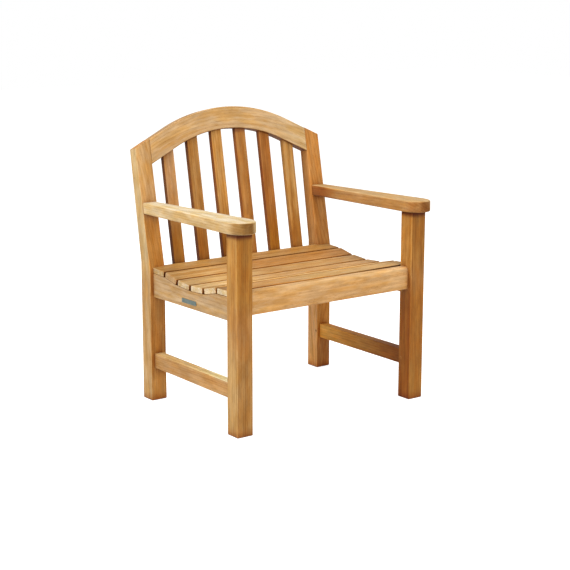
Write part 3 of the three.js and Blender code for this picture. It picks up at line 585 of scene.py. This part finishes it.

# Most of these are painted light and shade, over the board's own colour
TINTS = {
    # Painted light on the outer face, paler lower down, and painted shade on the front at the seat's height
    "front_leg_left": [
        FOOT,
        SHADOW_UNDER_ARM,
        tint((1.25, 1.45, 1.75), LEFT),
        tint((1.03, 1.15, 1.27), over=shares(Z, 0.344, 0.211)),
        tint((0.98, 0.93, 0.68), over=PAST_SEAT),
        tint((0.95, 0.90, 0.65), FRONT, PAST_SEAT),
    ],
    # Painted light on the inner face above the seat and painted shade on it below; painted shade on the
    # front by the seat and painted light lower down
    "front_leg_right": [
        FOOT,
        SHADOW_UNDER_ARM,
        tint((1.30, 1.47, 1.58), LEFT, shares(Z, 0.410, 0.477)),
        tint((1.01, 0.78, 0.36), LEFT, BELOW_SEAT),
        tint((0.96, 0.89, 0.53), FRONT, BELOW_SEAT),
        tint((0.89, 0.84, 0.57), FRONT, ABOVE_SEAT),
        tint((0.95, 0.90, 0.76), LEFT, ABOVE_SEAT),
        tint((1.14, 1.23, 1.45), FRONT, shares(Z, 0.233, 0.111)),
    ],
    # Painted light on the outer face and low on the front, warmer painted shade on the front under the arm
    # and below the seat, and less painted corner shade where the crest meets it
    "back_post_left": [
        FOOT,
        tint((1.04, 1.30, 1.62), LEFT, shares(Z, 0.399, 0.554)),
        tint((0.97, 1.08, 1.18), LEFT, shares(Z, 0.554, 0.399)),
        tint((1.10, 0.88, 0.49), FRONT, shares(Z, 0.665, 0.621)),
        tint((0.85, 0.85, 0.90), FRONT, shares(Z, 0.466, 0.333)),
        tint((1.02, 1.07, 1.12), FRONT, shares(Z, 0.732, 0.798)),
        tint((1.20, 1.28, 1.40), FRONT, shares(Z, 0.111, 0.067)),
        tint((1.50, 1.60, 1.70), RIGHT, shares(Z, 0.798, 0.843)),
    ],
    # Painted light on the post below the rail, where the seat shades it, with painted shade on its front
    # there and darker near the foot
    "back_post_right": [
        FOOT,
        tint((1.57, 1.69, 1.86), over=BELOW_RAIL),
        tint((1.03, 1.12, 1.45), LEFT, BELOW_RAIL),
        tint((0.74, 0.64, 0.38), FRONT, BELOW_RAIL),
        tint((0.78, 0.73, 0.89), FRONT, shares(Z, 0.133, 0.089)),
    ],
    # Painted shade on the underside and, lighter, on the top; less painted corner shade at the left end,
    # and paler towards the right
    "crest_rail": [
        tint((0.42, 0.25, 0.10), CREST_DOWN),
        tint((0.74, 0.72, 0.72), CREST_UP),
        tint((1.0, 0.99, 1.06)),
        tint((1.05, 1.13, 1.22), over=shares(X, 0.172, 0.411)),
        tint((1.50, 1.60, 1.70), LEFT),
    ],
    "side_rail_left": [tint((1.0, 1.0, 1.11), LEFT)],
    # Painted light on the top face under the seat, most at the front, and painted shade on the outer face,
    # less at the front
    "side_stretcher_left": [
        tint((1.40, 1.62, 1.70), UP),
        tint((1.24, 1.58, 2.08), UP, STRETCHER_FRONT),
        tint((0.86, 0.83, 0.78), LEFT),
        tint((1.10, 1.07, 1.0), LEFT, STRETCHER_FRONT),
    ],
    # Its own warmer colour, darker towards the front, and painted light towards the rear, where the seat
    # shades it
    "side_stretcher_right": [
        tint((0.99, 0.78, 0.38)),
        tint((0.62, 0.45, 0.24), over=shares(Y, -0.048, -0.333)),
        tint((1.86, 2.02, 1.77), over=shares(Y, -0.159, 0.317)),
    ],
    # Painted highlight on the rounded brow
    "front_rail": [tint((1.08, 1.19, 1.36), BROW)],
    # Painted sheen on the top, paler and greyer; the darker nose is its end grain
    "arm_left": [tint((1.0, 1.14, 1.42), UP), tint((0.52, 0.40, 0.22), NOSE, ARM_END)],
    # Painted shade on the inner face, deepest towards the rear, and painted sheen on the top; the darker
    # nose is its end grain
    "arm_right": [
        tint((0.885, 0.81, 0.70), LEFT),
        tint((1.02, 1.10, 1.12), UP),
        tint((0.74, 0.60, 0.42), NOSE, ARM_END),
        tint((0.68, 0.42, 0.20), LEFT, shares(Y, 0.111, 0.270)),
    ],
    # Painted shade on the back slats' left sides and down their lower parts, and on slat 4 just under the
    # crest
    "back_slat_1": [
        SHADED_SLAT_SIDE,
        tint((1.0, 0.93, 0.96)),
        tint((0.66, 0.50, 0.175), over=shares(Z, 0.754, 0.532)),
    ],
    "back_slat_2": [SHADED_SLAT_SIDE, tint((0.77, 0.60, 0.335), over=shares(Z, 0.6985, 0.510))],
    "back_slat_3": [SHADED_SLAT_SIDE, tint((0.46, 0.33, 0.13), over=shares(Z, 0.6985, 0.532))],
    "back_slat_4": [LIGHTER_SHADED_SLAT_SIDE, tint((0.70, 0.65, 1.0), over=shares(Z, 0.900, 0.914))],
    "back_slat_5": [LIGHTER_SHADED_SLAT_SIDE, tint((0.94, 0.93, 0.40), over=shares(Z, 0.665, 0.521))],
    "back_slat_6": [
        tint((0.90, 0.80, 0.58), LEFT),
        tint((0.81, 0.67, 0.44), over=shares(Z, 0.665, 0.510)),
    ],
    # Painted shade on the front faces in the gaps; the tops are paler or darker towards the left end
    "seat_slat_1": [SHADED_REAR_SEAT_GAP, tint((0.94, 0.96, 0.92), UP, SEAT_LEFT)],
    "seat_slat_2": [SHADED_SEAT_GAP, tint((1.17, 1.42, 1.80), UP, SEAT_LEFT), tint((1.0, 1.04, 1.12), UP)],
    "seat_slat_3": [SHADED_SEAT_GAP, tint((1.10, 1.20, 1.30), UP, SEAT_FAR_LEFT), tint((1.03, 1.05, 1.0), UP)],
    "seat_slat_4": [SHADED_SEAT_GAP, tint((1.25, 1.45, 1.65), UP, SEAT_FAR_LEFT)],
    "seat_slat_5": [SHADED_SEAT_GAP, tint((1.08, 1.15, 1.12), UP)],
    # Painted shade along the front face above the front rail: deepest towards the right end, less deep at
    # the left end, and lightened left of the middle
    "seat_slat_6": [
        tint((0.55, 0.42, 0.25), FRONT, shares(X, -0.106, -0.345)),
        tint((1.50, 1.30, 1.0), FRONT, shares(X, 0.159, 0.0)),
        tint((0.18, 0.10, 0.05), FRONT, shares(X, 0.133, 0.345)),
        tint((0.88, 0.84, 0.80), UP, shares(X, -0.066, -0.265)),
        tint((1.04, 1.10, 1.08), UP, shares(X, -0.159, -0.027)),
    ],
}

# Tints of the end grain, where it isn't dull
SILVER_END, PALE_END = (1.05, 1.40, 2.40), (1.17, 1.57, 2.45)
END_TINTS = {
    "seat_slat_1": SILVER_END,
    "seat_slat_2": SILVER_END,
    "seat_slat_3": PALE_END,
    "seat_slat_4": PALE_END,
    "seat_slat_5": (0.92, 1.15, 1.70),
    "seat_slat_6": PALE_END,
    "crest_rail": (0.95, 0.92, 0.88),
    "back_post_left": (0.85, 0.78, 0.68),
    "back_post_right": (0.75, 0.66, 0.55),
    "arm_left": (0.70, 0.62, 0.52),
    "arm_right": (0.62, 0.52, 0.42),
}

# The crest's grain follows its arch a little, and its joints get less painted shade than the others
CREST_BOW, CREST_CORNER_SHADE = 0.8, 0.2

for name, (along, wide, heart, pair, level, warmth, figure) in BOARDS.items():
    end_tint = END_TINTS.get(name, DULL_END)
    bow, corner_shade = (CREST_BOW, CREST_CORNER_SHADE) if name == "crest_rail" else (0.0, 1.0)
    tones = toned(pair, level, warmth)
    material = teak(name, along, wide, heart, tones, figure, end_tint, TINTS.get(name, ()), bow, corner_shade)
    dress(name, material, POST_BEND_CRISP if name.startswith("back_post") else 0.0)


# Pegs and plugs, the same wood with pale end grain and little painted shade in their corners

PEG_TONES, PEG_HEART, PEG_END, PEG_CORNER_SHADE = toned(AMBER, 0.95), (0.03, 0.02), (1.0, 0.95, 0.90), 0.2


def peg_direction(name):
    if name.startswith("peg_side"):
        return X
    return RAKED_OUT if name.startswith("peg_crest") else Y


for name in nodes:
    if name.startswith(("peg", "arm_plug")):
        across = Z if name.startswith("peg_side") else X
        dress(name, teak(
            name, peg_direction(name), across, PEG_HEART, PEG_TONES, end_tint=PEG_END, corner_shade=PEG_CORNER_SHADE))


# The plate with its pins, and the screws

plate_metal = metal("plate_metal", (0.19, 0.24, 0.22), 0.42, Y, 0.75)
screw_metal = metal("stainless", (0.62, 0.62, 0.61), 0.30, Z, 1.0)
for name in nodes:
    if name.startswith("plate"):
        dress(name, plate_metal)
    if "_screw_" in name:
        dress(name, screw_metal)


# Stage: a plain pale floor, a white surround and soft light

FLOOR_SIZE, FLOOR_GAP = 24, 0.0002
FLOOR_COLOUR, FLOOR_ROUGHNESS = (0.66, 0.65, 0.64), 0.9
FLOOR_GLOW = 0.80
SURROUND_LIGHT, SURROUND_SEEN = 0.48, 1.0
WHITE = (1.0, 1.0, 1.0)

# Light: place, the point that it looks at, width and height, watts, whether it shows in gloss
LIGHTS = {
    "key_left": ((-3.4, -0.1, 2.4), (0.0, 0.0, 0.45), (1.8, 1.8), 118.0, True),
    "front": ((0.0, -2.5, 3.3), (0.0, 0.1, 0.7), (1.6, 1.6), 52.0, False),
    "front_low": ((-0.2, -4.2, 0.9), (0.0, 0.0, 0.35), (2.4, 1.2), 62.0, False),
    "top": ((-0.3, 0.2, 3.0), (0.0, 0.0, 0.5), (2.0, 2.0), 50.0, True),
}


def by_sight(tree, unseen, seen):
    """One value for the light on other things, and another where the camera sees it directly."""
    sight = add(tree, "ShaderNodeLightPath").outputs["Is Camera Ray"]
    return span(tree, sight, 0.0, 1.0, unseen, seen, smooth=False)


def make_floor():
    """A floor just below the feet. It glows only to the camera, so that it is as white as the surround."""
    bpy.ops.mesh.primitive_plane_add(size=FLOOR_SIZE, location=(0, 0, -FLOOR_GAP))
    floor = bpy.context.object
    floor.name = "floor"
    material = empty_material("floor")
    tree = material.node_tree
    shader = add(tree, "ShaderNodeBsdfPrincipled", {
        "Base Color": opaque(FLOOR_COLOUR), "Roughness": FLOOR_ROUGHNESS,
        "Emission Color": opaque(WHITE), "Emission Strength": by_sight(tree, 0.0, FLOOR_GLOW)})
    add(tree, "ShaderNodeOutputMaterial", {"Surface": shader.outputs[0]})
    floor.data.materials.append(material)


def make_surround():
    """White where it is seen directly, and dimmer as a light on the chair."""
    world = bpy.data.worlds.new("surround")
    world.use_nodes = True
    tree = world.node_tree
    tree.nodes.clear()
    strength = by_sight(tree, SURROUND_LIGHT, SURROUND_SEEN)
    background = add(tree, "ShaderNodeBackground", {"Color": opaque(WHITE), "Strength": strength})
    add(tree, "ShaderNodeOutputWorld", {"Surface": background.outputs[0]})
    bpy.context.scene.world = world


def soft_light(name, place, aim, size, power, in_gloss):
    data = bpy.data.lights.new(name, "AREA")
    data.shape = "RECTANGLE"
    data.size, data.size_y = size
    data.energy = power
    light = bpy.data.objects.new(name, data)
    light.visible_glossy = in_gloss
    light.location = place
    light.rotation_euler = (Vector(aim) - Vector(place)).to_track_quat("-Z", "Y").to_euler()
    bpy.context.scene.collection.objects.link(light)


make_floor()
make_surround()
for name, settings in LIGHTS.items():
    soft_light(name, *settings)


# Camera, at the photo's viewing angle: it looks at the target from the azimuth and elevation. The width of
# the sensor and the focal length are in millimetres.

AZIMUTH, ELEVATION, ROLL = math.radians(-36.796), math.radians(12.239), math.radians(0.107)
TARGET, DISTANCE = Vector((0.0328, 0.01025, 0.3557)), 4.4909
SENSOR_WIDTH, FOCAL_LENGTH = 36.0, 89.42


def make_camera():
    back = Vector((
        math.sin(AZIMUTH) * math.cos(ELEVATION),
        -math.cos(AZIMUTH) * math.cos(ELEVATION),
        math.sin(ELEVATION)))
    level = (-back).cross(Vector(Z)).normalized()
    upright = level.cross(-back)
    right = level * math.cos(ROLL) + upright * math.sin(ROLL)
    up = upright * math.cos(ROLL) - level * math.sin(ROLL)
    data = bpy.data.cameras.new("camera")
    data.sensor_width = SENSOR_WIDTH
    data.lens = FOCAL_LENGTH
    camera = bpy.data.objects.new("camera", data)
    camera.matrix_world = Matrix((right, up, back)).transposed().to_4x4()
    camera.location = TARGET + back * DISTANCE
    bpy.context.scene.collection.objects.link(camera)
    bpy.context.scene.camera = camera


make_camera()
bpy.context.scene.view_settings.view_transform = "Standard"
